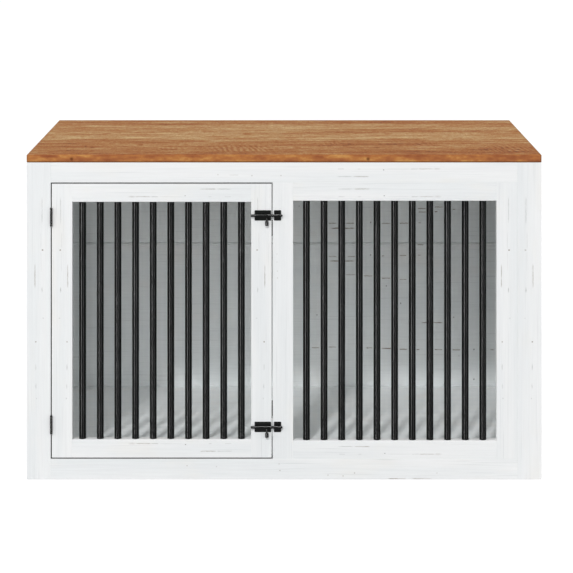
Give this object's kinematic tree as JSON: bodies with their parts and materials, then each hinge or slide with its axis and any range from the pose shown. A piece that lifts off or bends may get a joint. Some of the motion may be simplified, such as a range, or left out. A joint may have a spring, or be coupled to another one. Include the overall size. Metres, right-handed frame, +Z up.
{
  "type": "dog crate end table",
  "caption": "White wooden dog crate with a brown table top, black bars on three sides, a hinged barred door and sliding barrel bolts.",
  "frame": {"origin": "centre of the bounding box's bottom face, on the floor", "axes": "+X to the right along the long side, +Z up, the front with the door faces -Y"},
  "size_m": [1.11, 0.608, 0.7],
  "materials": {
    "painted_wood": "white paint over board, faint grain, thin brown rubbed streaks",
    "brown_wood": "rustic mid brown, satin",
    "black_bar": "satin black powder coat",
    "black_hardware": "satin black",
    "black_plastic": "matte",
    "zinc_steel": "zinc plated",
    "beech_dowel": "raw"
  },
  "bodies": {
    "cabinet": {"front_left_post": "painted_wood", "front_right_post": "painted_wood", "front_top_rail": "painted_wood", "front_bottom_rail": "painted_wood", "centre_stile": "painted_wood", "fixed_panel_top_rail": "painted_wood", "fixed_panel_bottom_rail": "painted_wood", "fixed_panel_right_stile": "painted_wood", "left_side_front_stile": "painted_wood", "left_side_rear_stile": "painted_wood", "left_side_top_rail": "painted_wood", "left_side_bottom_rail": "painted_wood", "right_side_front_stile": "painted_wood", "right_side_rear_stile": "painted_wood", "right_side_top_rail": "painted_wood", "right_side_bottom_rail": "painted_wood", "back_upper_panel": "painted_wood", "back_lower_panel": "painted_wood", "floor_panel": "painted_wood", "floor_side_cleats": "painted_wood", "floor_long_cleats": "painted_wood", "top_board": "brown_wood", "fixed_panel_bars": "black_bar", "left_side_bars": "black_bar", "right_side_bars": "black_bar", "upper_hinge_frame_leaf": "black_hardware", "lower_hinge_frame_leaf": "black_hardware", "hinge_pins": "black_hardware", "hinge_frame_screws": "black_hardware", "upper_bolt_keeper": "black_hardware", "lower_bolt_keeper": "black_hardware", "keeper_screws": "black_hardware", "upper_catch": "black_plastic", "lower_catch": "black_plastic", "cam_bolts": "zinc_steel", "cam_locks": "zinc_steel", "top_brackets": "zinc_steel", "carcass_screws": "zinc_steel", "back_panel_screws": "zinc_steel", "catch_screws": "zinc_steel", "frame_dowels": "beech_dowel"},
    "door": {"door_hinge_stile": "painted_wood", "door_latch_stile": "painted_wood", "door_top_rail": "painted_wood", "door_bottom_rail": "painted_wood", "door_bars": "black_bar", "door_dowels": "beech_dowel", "upper_hinge_door_leaf": "black_hardware", "lower_hinge_door_leaf": "black_hardware", "hinge_door_screws": "black_hardware", "upper_bolt_plate": "black_hardware", "lower_bolt_plate": "black_hardware", "bolt_plate_screws": "black_hardware", "catch_strike_plates": "black_hardware", "strike_screws": "zinc_steel"},
    "upper_bolt": {"upper_bolt_rod": "black_hardware"},
    "lower_bolt": {"lower_bolt_rod": "black_hardware"},
    "upper_knob": {"upper_bolt_knob": "black_hardware"},
    "lower_knob": {"lower_bolt_knob": "black_hardware"}
  },
  "joints": [
    {"name": "door_hinge", "type": "hinge", "parent": "cabinet", "child": "door", "pos_m": [-0.5018, -0.2986, 0.3422], "axis": [0, 0, -1], "range_deg": [0, 175]},
    {"name": "upper_bolt_slide", "type": "slide", "parent": "door", "child": "upper_bolt", "axis": [-1, 0, 0], "range_m": [0, 0.02]},
    {"name": "lower_bolt_slide", "type": "slide", "parent": "door", "child": "lower_bolt", "axis": [-1, 0, 0], "range_m": [0, 0.02]},
    {"name": "upper_knob_turn", "type": "hinge", "parent": "upper_bolt", "child": "upper_knob", "pos_m": [-0.0372, -0.3, 0.5692], "axis": [-1, 0, 0], "range_deg": [0, 90]},
    {"name": "lower_knob_turn", "type": "hinge", "parent": "lower_bolt", "child": "lower_knob", "pos_m": [-0.0372, -0.3, 0.1134], "axis": [-1, 0, 0], "range_deg": [0, 90]}
  ]
}
